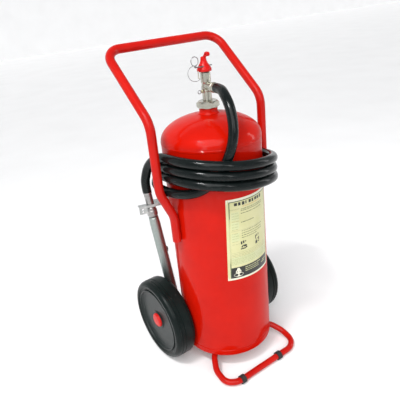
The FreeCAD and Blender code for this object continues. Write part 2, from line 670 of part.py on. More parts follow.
lance_nozzle = cut("lance_nozzle",
                   put(turned("lance_nozzle_turning", [
                       (0, 0), (17.6, 0), (17.6, 10), (12, 18), (9, 40), (9, 44), (0, 44)])),
                   put(turned("lance_nozzle_bore", [
                       (0, -1), (9, -1), (9, 8), (5, 22), (5, 46), (0, 46)])))
keep(seat(lance_nozzle, nozzle_at.x, nozzle_at.y, nozzle_at.z, along(bd)), "lance_nozzle")
lug_at = barrel_at + bd * 152
lug_side = Vector(1, 0.1, 0.2)
lug_side = (lug_side - bd * lug_side.dot(bd)).normalize()
lance_lug = padded("lance_lug", "XZ_Plane", [(16, -14), (20, -12), (22.5, -5), (22.5, 5), (20, 9), (16, 12)], 6, True)
lug_rot = Rotation(lug_side, Vector(0, 0, 0), bd * -1, "ZXY")
keep(seat(lance_lug, lug_at.x, lug_at.y, lug_at.z, lug_rot), "lance_lug")

# steel bracket on the tank's left side: a slotted plate that the lance hangs in, with a
# turned-down front lip that is deeper at its outer end, where it has two holes
bz = 571.5
plate = put(padded("bracket_plate_pad", "XY_Plane", [
    (-120, 64.3), (-158, 76), (-224.4, 96.5), (-220, 113), (-196.6, 106.2), (-196.6, 96), (-191.5, 88.3),
    (-183.5, 85.9), (-174.8, 87.8), (-169.3, 96), (-168, 118), (-145, 112), (-112, 101.5)], 3.0))
put(plate, 0, 0, bz)
lip = put(padded("bracket_lip_pad", "XY_Plane", [
    (-150, 73.53), (-158, 76), (-224.4, 96.5), (-223.65, 98.9), (-157.2, 78.4), (-149.2, 75.93)], 8.0))
put(lip, 0, 0, bz - 5)
ear = put(padded("bracket_ear_pad", "XY_Plane", [
    (-200.3, 89.06), (-224.4, 96.5), (-223.65, 98.9), (-199.55, 91.46)], 26.0))
put(ear, 0, 0, bz - 23)
bracket_solid = fuse("bracket_solid", [plate, lip, ear])
tank_clear = put(cylinder("bracket_tank_clear", R, 100), 0, 0, bz - 50)
hole_dir = Rotation(Vector(0, 0, 1), -17.2) * X90
hole_a = put(cylinder("bracket_hole_a", 2.8, 60), -205.5, 120, bz - 7.5, hole_dir)
hole_b = put(cylinder("bracket_hole_b", 2.8, 60), -205.5, 120, bz - 16, hole_dir)
bracket_cut = fuse("bracket_cuts", [tank_clear, hole_a, hole_b])
lance_bracket = cut("lance_bracket", bracket_solid, bracket_cut)
keep(seat(lance_bracket), "lance_bracket")

# ---------------------------------------------------------------- frame
tr = float(dims.get("tube_r"))
tw = float(dims.get("tube_wall"))
tx, wx, tyy = float(dims.get("tube_x")), float(dims.get("weld_x")), float(dims.get("tube_y"))
bar_y, bar_z = float(dims.get("bar_y")), float(dims.get("bar_z"))
side, shoulder, cornr = float(dims.get("side_bend")), float(dims.get("shoulder_bend")), float(dims.get("corner_bend"))
half = [Vector(-wx, tyy, float(dims.get("tube_low"))), Vector(-wx, tyy, float(dims.get("bend_low"))),
        Vector(-tx, tyy, float(dims.get("bend_mid"))), Vector(-tx, tyy, float(dims.get("bend_top"))),
        Vector(-tx, bar_y, bar_z)]
other = [Vector(-p.x, p.y, p.z) for p in reversed(half)]
frame_pts = [p + shift for p in half + other]
frame_radii = [side, side, shoulder, cornr, cornr, shoulder, side, side]
handle = tube_feature("handle_frame", frame_pts, frame_radii, tr, tr - tw)
keep(handle, "handle_frame")

# short weld runs that hold each handle tube to the tank
weld_list = []
for s in (-1, 1):
    for i, z0 in enumerate((484, 508, 532)):
        for t in (-1, 1):
            bar = doc.addObject("Part::Cylinder", "weld_%d_%d_%d" % (s + 1, i, t + 1))
            bar.Radius = 2.6
            bar.Height = 15
            put(bar, s * 153.4, ty + tyy + t * 6.2, z0)
            weld_list.append(bar)
weld_group = group("handle_weld_bars", weld_list)
weld_tank = put(cylinder("weld_tank", R, 200), 0, ty, 430)
weld_tube_l = put(cylinder("weld_tube_left", tr, 200), -wx, ty + tyy, 430)
weld_tube_r = put(cylinder("weld_tube_right", tr, 200), wx, ty + tyy, 430)
weld_tool = fuse("weld_tool", [weld_tank, weld_tube_l, weld_tube_r])
handle_welds = cut("handle_welds", weld_group, weld_tool)
keep(handle_welds, "handle_welds")

# foot loop: one bent tube, its ends welded under the base ring
fr = float(dims.get("foot_r"))
fx, fy, fzz = float(dims.get("foot_x")), float(dims.get("foot_y")), float(dims.get("foot_z"))
foot_half = [Vector(-97, -53, 44.7), Vector(-128, -86, 44.2), Vector(-fx, -122, 27), Vector(-fx, fy + 24, 15),
             Vector(-fx + 30, fy, fzz)]
foot_pts = [p + shift for p in foot_half] + [Vector(-p.x, p.y, p.z) + shift for p in reversed(foot_half)]
foot_rad = []
for i in range(1, len(foot_pts) - 1):
    p, a, b = foot_pts[i], foot_pts[i - 1], foot_pts[i + 1]
    turn = math.pi - (a - p).getAngle(b - p)
    foot_rad.append(min(60.0, 0.47 * min((a - p).Length, (b - p).Length) / math.tan(turn / 2)))
print("foot radii", [round(r, 1) for r in foot_rad])
foot = tube_feature("foot_loop", foot_pts, foot_rad, fr, fr - 2)
keep(foot, "foot_loop")

# rubber rings on the front bar, each with a small flat sole
foot_rings = []
fw = d("foot_ring_wide")
for tag, s in (("left", -1), ("right", 1)):
    outer = put(cylinder("foot_ring_%s_out" % tag, d("foot_ring_r") + 0.6, fw),
                d("foot_ring_%s" % tag) - 0.5 * fw, d("foot_y"), d("foot_z"), Y90)
    inner = put(cylinder("foot_ring_%s_in" % tag, d("foot_r"), fw + 10),
                d("foot_ring_%s" % tag) - 0.5 * fw - 5, d("foot_y"), d("foot_z"), Y90)
    annulus = cut("foot_ring_%s_ring" % tag, outer, inner)
    sole = put(block("foot_ring_%s_sole" % tag, 60, 60, 20), d("foot_ring_%s" % tag) - 30, d("foot_y") - 30, -20)
    foot_rings.append(cut("foot_ring_%s" % tag, annulus, sole))
foot_ring_pair = group("foot_rings", foot_rings)
keep(seat(foot_ring_pair), "foot_rings")

# folded brackets welded to the tank sides, each holding a plain spindle
ay, az = d("axle_y"), d("axle_z")
brackets = []
for tag, s in (("left", -1), ("right", 1)):
    plate_b = put(block("axle_plate_%s" % tag, 44, 40, 70), (-144 if s < 0 else 100), 83, 104)
    brackets.append(plate_b)
bracket_blocks = group("axle_blocks", brackets)
axle_tank = put(cylinder("axle_tank", R, 300), 0, 0, 50)
hollow_l = put(block("axle_hollow_left", 60, 32, 64), -140, 87, 100)
hollow_r = put(block("axle_hollow_right", 60, 32, 64), 80, 87, 100)
spindle_bore = put(cylinder("axle_bore", d("spindle_r"), 400), -200, ay, az, Y90)
axle_tool = fuse("axle_tool", [axle_tank, hollow_l, hollow_r, spindle_bore])
axle_brackets = cut("axle_brackets", bracket_blocks, axle_tool)
keep(seat(axle_brackets), "axle_brackets")

win, ww = d("wheel_in"), d("wheel_wide")
spr = d("spindle_r")
for tag, s in (("left", -1), ("right", 1)):
    rot = Y270 if s < 0 else Y90
    # spindle: shoulder at the bracket, plain journal, groove for the clip
    sp = turned("%s_spindle" % tag, [
        (0, 120), (spr, 120), (spr, 144), (14, 144), (14, 149), (spr, 149), (spr, 199.2), (8, 199.2), (8, 201.2),
        (spr, 201.2), (spr, 205.5), (spr - 1.5, 207), (0, 207)])
    keep(seat(sp, 0, ay, az, rot), "%s_spindle" % tag)
    # tyre: solid rubber, rounded shoulders
    rw, t0 = az, win
    tyre = turned("%s_tyre" % tag, [
        (d("rim_r") - 6, t0 + 6), (d("rim_r"), t0 + 3), (rw - 16, t0 + 0), (rw - 8, t0 + 2.5), (rw - 3.6, t0 + 6.5),
        (rw - 3.4, t0 + 9), (rw - 1.2, t0 + 10.5), (rw, t0 + 16), (rw, t0 + ww - 34), (rw - 2.2, t0 + ww - 32.5),
        (rw - 2.2, t0 + ww - 29.5), (rw, t0 + ww - 28), (rw, t0 + ww - 22), (rw - 2.2, t0 + ww - 20.5),
        (rw - 2.2, t0 + ww - 17.5), (rw - 0.5, t0 + ww - 16), (rw - 1.4, t0 + ww - 11.5), (rw - 4, t0 + ww - 6.5),
        (rw - 8, t0 + ww - 2.5), (rw - 13, t0 + ww), (d("rim_r") + 3, t0 + ww - 0.5), (d("rim_r") + 1.5, t0 + ww - 3),
        (d("rim_r"), t0 + ww - 3.5), (d("rim_r") - 6, t0 + ww - 6)])
    keep(seat(tyre, 0, ay, az, rot), "%s_tyre" % tag)
    # moulded wheel disc with a hub tube
    rr_, br = d("rim_r") - 6, d("bush_r")
    rim = turned("%s_wheel_rim" % tag, [
        (br, t0 - 3), (br + 9, t0 - 3), (br + 9, t0 + 30), (rr_ - 6, t0 + 34), (rr_ - 6, t0 + 5), (rr_, t0 + 5),
        (rr_, t0 + ww - 5), (rr_ - 0.8, t0 + ww - 2), (rr_ - 2.4, t0 + ww - 1.4), (rr_ - 4.2, t0 + ww - 2.4),
        (rr_ - 6, t0 + ww - 6), (rr_ - 10.5, t0 + ww - 9.4), (rr_ - 16, t0 + ww - 11), (40, t0 + ww - 12.2),
        (33, t0 + ww - 12.2), (29.5, t0 + ww - 9), (24.7, t0 + ww - 9), (24.7, t0 + ww - 29), (br, t0 + ww - 29)])
    keep(seat(rim, 0, ay, az, rot), "%s_wheel_rim" % tag)
    bush = turned("%s_wheel_bush" % tag, [
        (spr + gap, t0 - 3), (br, t0 - 3), (br, t0 + ww - 29), (spr + gap, t0 + ww - 29)])
    keep(seat(bush, 0, ay, az, rot), "%s_wheel_bush" % tag)
    washer = turned("%s_inner_washer" % tag, [
        (spr + 0.1, 149), (19, 149), (19, 150.8), (spr + 0.1, 150.8)])
    keep(seat(washer, 0, ay, az, rot), "%s_inner_washer" % tag)
    clip = turned("%s_retaining_clip" % tag, [
        (8, 199.4), (14.5, 199.4), (14.5, 201), (8, 201)])
    keep(seat(clip, 0, ay, az, rot), "%s_retaining_clip" % tag)
    # hub cap: a dished red plastic cap pressed into the hub
    cap = turned("%s_hub_cap" % tag, [
        (22.2, t0 + ww - 18), (24.7, t0 + ww - 18), (24.7, t0 + ww - 6), (23.2, t0 + ww - 3.2), (19.5, t0 + ww - 1),
        (0, t0 + ww - 0.2), (0, t0 + ww - 3.2), (18.6, t0 + ww - 4), (22.2, t0 + ww - 7)])
    keep(seat(cap, 0, ay, az, rot), "%s_hub_cap" % tag)

# ---------------------------------------------------------------- check and export
doc.recompute()
bad = [o.Name for o in doc.Objects if "Invalid" in o.State or "Error" in o.State]
if bad:
    raise ValueError("failed objects: %s" % bad)
for o in NODES:
    if o.Shape.isNull() or not o.Shape.isValid():
        raise ValueError("bad shape: " + o.Label)
    if not o.Shape.Solids:
        raise ValueError("no solid: " + o.Label)

os.makedirs("parts", exist_ok=True)
for o in NODES:
    o.Shape.exportStep(os.path.join("parts", o.Label + ".step"))
box = FreeCAD.BoundBox()
for o in NODES:
    box.add(o.Shape.BoundBox)
print("nodes", len(NODES))
print("box X %.1f %.1f  Y %.1f %.1f  Z %.1f %.1f" % (box.XMin, box.XMax, box.YMin, box.YMax, box.ZMin, box.ZMax))
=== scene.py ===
import math
import random

import bmesh
import bpy
from mathutils import Matrix, Vector, noise
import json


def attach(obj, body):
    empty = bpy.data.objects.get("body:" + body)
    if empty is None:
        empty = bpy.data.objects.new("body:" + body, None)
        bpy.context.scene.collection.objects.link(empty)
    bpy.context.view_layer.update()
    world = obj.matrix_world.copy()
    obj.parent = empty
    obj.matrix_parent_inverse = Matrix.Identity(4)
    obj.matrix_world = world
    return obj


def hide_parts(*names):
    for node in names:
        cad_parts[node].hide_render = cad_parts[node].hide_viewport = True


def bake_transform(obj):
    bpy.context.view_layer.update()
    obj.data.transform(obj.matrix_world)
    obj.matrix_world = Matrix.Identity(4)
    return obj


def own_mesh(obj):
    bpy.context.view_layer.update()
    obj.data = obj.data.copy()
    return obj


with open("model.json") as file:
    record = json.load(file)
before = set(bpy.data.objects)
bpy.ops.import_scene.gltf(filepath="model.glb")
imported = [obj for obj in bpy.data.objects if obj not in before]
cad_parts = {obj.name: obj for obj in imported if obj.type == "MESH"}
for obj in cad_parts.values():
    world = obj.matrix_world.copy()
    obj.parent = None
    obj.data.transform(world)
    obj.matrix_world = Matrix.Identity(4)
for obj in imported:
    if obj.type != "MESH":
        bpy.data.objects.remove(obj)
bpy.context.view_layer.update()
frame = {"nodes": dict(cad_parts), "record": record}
NODES = frame["nodes"]
TY = -0.0179          # the tank's axis lies this far in front of the origin
random.seed(7)


# ------------------------------------------------------------------ helpers
def tank(x, y, z):
    """A point given from the tank's axis in millimetres, in the row frame in metres."""
    return Vector((x / 1000.0, y / 1000.0 + TY, z / 1000.0))


def polar(az, r, z):
    a = math.radians(az)
    return tank(r * math.cos(a), r * math.sin(a), z)


def link(ob):
    bpy.context.scene.collection.objects.link(ob)
    return ob


def mesh_object(name, verts, faces, mat=None, smooth=True):
    me = bpy.data.meshes.new(name)
    me.from_pydata([tuple(v) for v in verts], [], faces)
    me.validate()
    bm = bmesh.new()
    bm.from_mesh(me)
    bmesh.ops.recalc_face_normals(bm, faces=bm.faces)
    bm.to_mesh(me)
    bm.free()
    me.polygons.foreach_set("use_smooth", [smooth] * len(me.polygons))
    ob = link(bpy.data.objects.new(name, me))
    if mat:
        me.materials.append(mat)
    return ob


def nurbs(name, points, radius, order=3, res=8, bevel_res=6):
    cu = bpy.data.curves.new(name, "CURVE")
    cu.dimensions = "3D"
    sp = cu.splines.new("NURBS")
    sp.points.add(len(points) - 1)
    for i, p in enumerate(points):
        sp.points[i].co = (p[0], p[1], p[2], 1.0)
    sp.order_u = order
    sp.use_endpoint_u = True
    sp.use_smooth = True
    cu.resolution_u = res
    cu.bevel_depth = radius
    cu.bevel_resolution = bevel_res
    cu.use_fill_caps = True
    return link(bpy.data.objects.new(name, cu))


# ------------------------------------------------------------------ materials
class Mat:
    def __init__(self, name):
        self.m = bpy.data.materials.new(name)
        self.m.use_nodes = True
        self.nt = self.m.node_tree
        self.nt.nodes.clear()
        self.out = self.nt.nodes.new("ShaderNodeOutputMaterial")
        self.b = self.nt.nodes.new("ShaderNodeBsdfPrincipled")
        self.nt.links.new(self.b.outputs[0], self.out.inputs[0])
        self.tc = self.nt.nodes.new("ShaderNodeTexCoord")

    def node(self, kind, **values):
        n = self.nt.nodes.new(kind)
        for k, v in values.items():
            setattr(n, k, v)
        return n

    def link(self, a, b):
        self.nt.links.new(a, b)

    def set(self, **values):
        for k, v in values.items():
            self.b.inputs[k.replace("_", " ")].default_value = v
        return self

    def noise(self, scale, detail=4.0, rough=0.5, stretch=None):
        n = self.node("ShaderNodeTexNoise")
        n.inputs["Scale"].default_value = scale
        n.inputs["Detail"].default_value = detail
        n.inputs["Roughness"].default_value = rough
        if stretch:
            mp = self.node("ShaderNodeMapping")
            mp.inputs["Scale"].default_value = stretch
            self.link(self.tc.outputs["Object"], mp.inputs[0])
            self.link(mp.outputs[0], n.inputs["Vector"])
        else:
            self.link(self.tc.outputs["Object"], n.inputs["Vector"])
        return n.outputs["Fac"]

    def ramp(self, fac, stops):
        r = self.node("ShaderNodeValToRGB")
        el = r.color_ramp.elements
        el[0].position, el[0].color = stops[0][0], stops[0][1]
        el[1].position, el[1].color = stops[-1][0], stops[-1][1]
        for p, c in stops[1:-1]:
            e = el.new(p)
            e.color = c
        self.link(fac, r.inputs[0])
        return r.outputs[0]

    def colour(self, fac, stops):
        self.link(self.ramp(fac, stops), self.b.inputs["Base Color"])
        return self

    def rough(self, fac, low, high):
        mr = self.node("ShaderNodeMapRange")
        mr.inputs["To Min"].default_value = low
        mr.inputs["To Max"].default_value = high
        self.link(fac, mr.inputs["Value"])
        self.link(mr.outputs[0], self.b.inputs["Roughness"])
        return self

    def bump(self, height, strength, distance, prior=None):
        b = self.node("ShaderNodeBump")
        b.inputs["Strength"].default_value = strength
        b.inputs["Distance"].default_value = distance
        self.link(height, b.inputs["Height"])
        if prior is not None:
            self.link(prior, b.inputs["Normal"])
        self.link(b.outputs[0], self.b.inputs["Normal"])
        return b.outputs[0]


def c(r, g, b):
    """An sRGB colour, 0 to 255, as linear."""
    def lin(v):
        v /= 255.0
        return v / 12.92 if v <= 0.04045 else ((v + 0.055) / 1.055) ** 2.4
    return (lin(r), lin(g), lin(b), 1.0)


def paint(name, dark, mid, light, rough=(0.2, 0.32), coat=0.6, spec=0.5):
    m = Mat(name)
    n = m.noise(9.0, 5.0, 0.6)
    m.colour(n, [(0.25, dark), (0.5, mid), (0.75, light)])
    m.rough(m.noise(55.0, 3.0), *rough)
    m.set(Coat_Weight=coat, Coat_Roughness=0.03, Specular_IOR_Level=spec)
    m.bump(m.noise(320.0, 2.0), 0.06, 0.0006)
    return m.m


def metal(name, dark, light, rough=(0.2, 0.4), brushed=None, bump=0.1):
    m = Mat(name)
    n = m.noise(70.0, 6.0, 0.65, brushed)
    m.colour(n, [(0.3, dark), (0.7, light)])
    m.rough(m.noise(160.0, 4.0, 0.6, brushed), *rough)
    m.set(Metallic=1.0)
    m.bump(m.noise(420.0, 3.0, 0.6, brushed), bump, 0.0004)
    return m.m


def plastic(name, dark, light, rough=(0.45, 0.6), grain=900.0, bump=0.12, spec=0.5):
    m = Mat(name)
    m.set(Specular_IOR_Level=spec)
    m.colour(m.noise(30.0, 5.0), [(0.3, dark), (0.7, light)])
    m.rough(m.noise(90.0, 4.0), *rough)
    m.bump(m.noise(grain, 2.0), bump, 0.0005)
    return m.m


M = {
    "red": paint("paint_red", (0.45, 0.005, 0.0008, 1), (0.50, 0.0062, 0.001, 1), (0.55, 0.0075, 0.0012, 1), rough=(0.3, 0.38), coat=0.28, spec=0.02),
    "frame": paint("paint_frame", (0.40, 0.004, 0.002, 1), (0.46, 0.006, 0.0025, 1), (0.52, 0.008, 0.003, 1), rough=(0.32, 0.4), coat=0.34, spec=0.04),
    "tyre": plastic("tyre_rubber", (0.003, 0.006, 0.006, 1), (0.007, 0.012, 0.011, 1), rough=(0.26, 0.4), grain=500.0, bump=0.2, spec=0.12),
    "disc": plastic("disc_plastic", (0.007, 0.011, 0.011, 1), (0.015, 0.021, 0.020, 1), rough=(0.28, 0.38), grain=700.0, bump=0.12, spec=0.2),
    "cap": plastic("cap_red", (0.55, 0.012, 0.01, 1), (0.70, 0.022, 0.016, 1), rough=(0.3, 0.42), grain=400.0, bump=0.06, spec=0.18),
    "lever": plastic("lever_red", (0.44, 0.003, 0.0025, 1), (0.54, 0.006, 0.005, 1), rough=(0.22, 0.32), grain=500.0, bump=0.05, spec=0.2),
    "nickel": metal("nickel_cast", (0.36, 0.35, 0.29, 1), (0.56, 0.55, 0.48, 1), rough=(0.16, 0.28), bump=0.06),
    "steel": metal("steel_bright", (0.18, 0.18, 0.185, 1), (0.36, 0.36, 0.365, 1), rough=(0.22, 0.38), brushed=(1, 1, 12)),
    "zinc": metal("zinc_plate", (0.36, 0.38, 0.37, 1), (0.58, 0.59, 0.58, 1), rough=(0.3, 0.5), bump=0.15),
    "lance_metal": metal("lance_cast", (0.27, 0.265, 0.26, 1), (0.46, 0.45, 0.44, 1), rough=(0.34, 0.52), bump=0.25),
    "brass": metal("brass_turned", (0.36, 0.32, 0.2, 1), (0.58, 0.52, 0.36, 1), rough=(0.25, 0.4)),
    "hose": plastic("hose_rubber", (0.002, 0.004, 0.004, 1), (0.006, 0.009, 0.009, 1), rough=(0.14, 0.22), grain=1200.0, bump=0.04, spec=0.2),
    "black": plastic("black_plastic", (0.008, 0.008, 0.009, 1), (0.018, 0.018, 0.02, 1), rough=(0.35, 0.5)),
    "barrel": metal("barrel_grey", (0.27, 0.32, 0.30, 1), (0.42, 0.46, 0.44, 1), rough=(0.4, 0.55), brushed=(8, 8, 1), bump=0.1),
    "label": plastic("label_film", (0.56, 0.55, 0.28, 1), (0.62, 0.60, 0.34, 1), rough=(0.3, 0.42), grain=600.0, bump=0.04, spec=0.3),
    "gasket": plastic("gasket_rubber", (0.008, 0.008, 0.008, 1), (0.02, 0.02, 0.02, 1), rough=(0.6, 0.8)),
    "aluminium": metal("siphon_aluminium", (0.42, 0.42, 0.43, 1), (0.62, 0.62, 0.63, 1), rough=(0.35, 0.5)),
    "strip": plastic("strip_plastic", (0.40, 0.38, 0.31, 1), (0.55, 0.52, 0.44, 1), rough=(0.4, 0.55)),
    "edge": plastic("label_edge", (0.70, 0.69, 0.54, 1), (0.77, 0.75, 0.61, 1), rough=(0.3, 0.42), grain=600.0, bump=0.04),
    "ink_olive": plastic("ink_olive", (0.075, 0.10, 0.045, 1), (0.13, 0.16, 0.075, 1), rough=(0.32, 0.45), grain=600.0, bump=0.04),
    "ink_black": plastic("ink_black", (0.006, 0.007, 0.006, 1), (0.016, 0.018, 0.015, 1), rough=(0.28, 0.4), grain=600.0, bump=0.04),
    "ink_faint": plastic("ink_faint", (0.34, 0.35, 0.18, 1), (0.42, 0.42, 0.23, 1), rough=(0.32, 0.45), grain=600.0, bump=0.04),
    "ink_orange": plastic("ink_orange", (0.58, 0.30, 0.10, 1), (0.66, 0.38, 0.15, 1), rough=(0.32, 0.45), grain=600.0, bump=0.04),
    "tint": plastic("label_tint", (0.53, 0.56, 0.29, 1), (0.59, 0.61, 0.36, 1), rough=(0.3, 0.42), grain=600.0, bump=0.04),
}
SLOT = {
    "red_paint": "red", "frame_paint": "frame", "wheel_disc": "disc", "hub_cap": "cap", "tyre": "tyre",
    "nickel": "nickel", "steel": "steel", "zinc": "zinc", "brass": "brass", "hose": "hose", "black_plastic": "black",
    "barrel_grey": "barrel", "label": "label", "gasket": "gasket", "siphon": "aluminium", "strip": "strip",
    "lever_red": "lever", "lance_metal": "lance_metal"}
for s in frame["record"]["subparts"]:
    o = NODES[s["node"]]
    o.data.materials.clear()
    o.data.materials.append(M[SLOT[s["material_slot"]]])

# ------------------------------------------------------------------ hose: valve, three turns round the tank, lance
hose_points = [
    tank(-5.64, -53.70, 911), tank(-8.26, -78.57, 911), tank(-20, -105, 903), tank(-28, -131, 885),
    tank(-35, -150, 859), tank(-42, -163, 828), tank(-50, -168, 795), tank(-58, -164.5, 765),
    # down behind the turns, out to the left side
    tank(-67, -157, 738), polar(-117, 168.5, 714), polar(-124, 168, 690), polar(-133, 168, 667), polar(-144, 168, 650),
    polar(-158, 169, 641), polar(-174, 169, 637), polar(-192, 179, 637), polar(-209, 184, 640), polar(-227, 179, 641),
    polar(-246, 174, 637), polar(-265, 171, 631), polar(-284, 171, 627), polar(-303, 170, 625), polar(-322, 169, 626),
    polar(-341, 168, 627), polar(-359, 168, 628),
    # first full turn: lowest strand at the front
    polar(-376, 173, 623), polar(-394, 179, 629), polar(-412, 184.5, 637), polar(-430, 190, 651), polar(-448, 193, 659),
    polar(-466, 194.5, 668), polar(-484, 194.5, 678), polar(-502, 189, 684), polar(-520, 178, 685),
    polar(-538, 171, 684), polar(-556, 169, 679), polar(-574, 169, 671), polar(-592, 170, 664), polar(-610, 170.5, 658),
    polar(-628, 170.5, 655), polar(-646, 170.5, 655), polar(-664, 170, 655), polar(-682, 169, 655), polar(-700, 168, 655),
    polar(-718, 167.5, 654),
    # second turn: middle strand
    polar(-736, 172, 649), polar(-754, 177, 656), polar(-772, 183, 666), polar(-790, 189.5, 679), polar(-808, 193, 688),
    polar(-826, 194, 697), polar(-844, 193.5, 706), polar(-862, 188, 713), polar(-880, 177, 713),
    polar(-898, 170.5, 711), polar(-916, 168, 704), polar(-934, 168, 697), polar(-952, 169.5, 691), polar(-970, 170, 686),
    polar(-988, 170, 684), polar(-1006, 170.5, 684), polar(-1024, 170, 684), polar(-1042, 169, 684), polar(-1060, 168, 683),
    polar(-1078, 168, 680),
    # third turn: top strand
    polar(-1095, 172, 676), polar(-1113, 179, 685), polar(-1131, 184.5, 695), polar(-1149, 189.5, 708), polar(-1167, 192.5, 717),
    polar(-1185, 193.5, 726), polar(-1203, 193, 735), polar(-1221, 188, 741), polar(-1238, 178, 742.5), polar(-1252, 171.5, 742),
    # down the left rear to the lance
    tank(-169.5, 8, 740), tank(-172.5, 33, 733), tank(-177, 60, 719), tank(-181, 82, 698), tank(-185.5, 94, 671),
    tank(-190.0, 99, 642.9), tank(-187.3, 99, 615),
]
hose = nurbs("hose", hose_points, 0.014, res=10, bevel_res=8)
hose.data.materials.append(M["hose"])
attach(hose, "root")
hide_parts("hose_lead", "hose_coil", "hose_tail")

# ------------------------------------------------------------------ safety pin tether
tether_points = [tank(-22, -3.4, 933.2), tank(-31, -8, 931), tank(-44, -11.5, 931.5), tank(-58, -11.5, 936),
                 tank(-66, -11.5, 948), tank(-66, -11.5, 961), tank(-59.5, -11.5, 970.5), tank(-48.3, -11.5, 973.2)]
line = nurbs("tether_line", tether_points, 0.0, res=8)
line_mesh = bpy.data.meshes.new_from_object(line)
line.data.bevel_depth = 0.0008
line.data.bevel_resolution = 3
tether = link(bpy.data.objects.new("tether", bpy.data.meshes.new_from_object(line)))
bpy.data.objects.remove(line)
bpy.data.meshes.remove(line_mesh)
tether.data.polygons.foreach_set("use_smooth", [True] * len(tether.data.polygons))
tether.data.materials.clear()
tether.data.materials.append(M["steel"])
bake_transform(tether)
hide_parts("tether_wire")

# ------------------------------------------------------------------ return spring, a copy of the stem spring with a mesh of its own
spring = link(bpy.data.objects.new("return_spring", NODES["stem_spring"].data.copy()))
spring.matrix_world = NODES["stem_spring"].matrix_world.copy()
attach(spring, "root")
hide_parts("stem_spring")
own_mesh(spring)


# ------------------------------------------------------------------ label print: plain bars, blocks and bands
TILT, TURN = math.radians(2.0), math.radians(4.75)


def on_label(u, v, lift):
    x = u * math.cos(TILT) + v * math.sin(TILT)
    z = -u * math.sin(TILT) + v * math.cos(TILT)
    rad = 150.4 + lift
    y = -math.sqrt(rad * rad - x * x)
    return tank(x * math.cos(TURN) - y * math.sin(TURN), x * math.sin(TURN) + y * math.cos(TURN), 478 + z)


class Print:
    """One layer of ink: flat patches that follow the tank's curve, each a thin closed plate."""
    def __init__(self, name, mat, lift):
        self.name, self.mat, self.lift = name, mat, lift
        self.verts, self.faces = [], []

    def bar(self, u0, v0, u1, v1, slope=0.0):
        n = max(1, int(abs(u1 - u0) / 4.0))
        start = len(self.verts)
        for i in range(n + 1):
            u = u0 + (u1 - u0) * i / n
            dv = slope * (u - u0)
            for lift in (-0.15, self.lift):
                self.verts += [on_label(u, v0 + dv, lift), on_label(u, v1 + dv, lift)]
        for i in range(n):
            a, b = start + 4 * i, start + 4 * i + 4
            self.faces += [(a + 2, b + 2, b + 3, a + 3), (a, a + 1, b + 1, b), (a, b, b + 2, a + 2), (a + 1, a + 3, b + 3, b + 1)]
        self.faces += [(start, start + 2, start + 3, start + 1),
                       (start + 4 * n, start + 4 * n + 1, start + 4 * n + 3, start + 4 * n + 2)]
        return self

    def blob(self, u, v, ru, rv, sides=20):
        start = len(self.verts)
        for lift in (-0.15, self.lift):
            self.verts.append(on_label(u, v, lift))
            for i in range(sides):
                t = 2 * math.pi * i / sides
                self.verts.append(on_label(u + ru * math.cos(t), v + rv * math.sin(t), lift))
        low, high = start, start + sides + 1
        for i in range(sides):
            j = (i + 1) % sides
            self.faces += [(high, high + 1 + i, high + 1 + j), (low, low + 1 + j, low + 1 + i),
                           (low + 1 + i, low + 1 + j, high + 1 + j, high + 1 + i)]
        return self

    def done(self):
        ob = mesh_object(self.name, self.verts, self.faces, M[self.mat], smooth=False)
        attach(ob, "root")
        return ob


edge = Print("label_margin", "edge", 0.04)
for u0, v0, u1, v1 in ((-82, -133.8, -75, 133.8), (75, -133.8, 82, 133.8), (-75, 126.5, 75, 133.8), (-75, -133.8, 75, -127.5)):
    edge.bar(u0, v0, u1, v1)
edge.done()
line_ink = Print("label_border", "ink_olive", 0.08)
for u0, v0, u1, v1 in ((-75.4, -127, -72.6, 126.8), (72.6, -127, 75.4, 126.8), (-72.6, 124, 72.6, 126.8)):
    line_ink.bar(u0, v0, u1, v1)
line_ink.done()
tint = Print("label_panels", "tint", 0.04)
tint.bar(-70, 38, -46, 60).bar(-70, -2, -46, 24).bar(-70, 66, -46, 92)
tint.bar(60, -60, 71.5, 110).bar(-70, -84, 70, -56)
tint.done()
title = Print("label_title_blocks", "ink_black", 0.1)
for i, (w, h) in enumerate(((9, 9), (7.5, 9), (8.5, 9), (4, 9), (9, 9), (7, 9), (9.5, 9), (8, 9), (8.5, 9))):
    u = -60 + i * 12.2
    title.bar(u, 112 - (i % 3) * 0.6, u + w, 112 + h)
title.done()
orange = Print("label_rule_orange", "ink_orange", 0.08)
for i in range(9):
    orange.bar(-34 + i * 8.4, 105.4, -28.5 + i * 8.4, 107.4)
orange.done()
fine = Print("label_fine_bars", "ink_olive", 0.08)
random.seed(11)


def text_row(layer, u0, u1, v, height):
    u = u0
    while u < u1 - 3:
        w = random.uniform(3.0, 11.0)
        layer.bar(u, v, min(u + w, u1), v + height)
        u += w + random.uniform(1.4, 2.4)


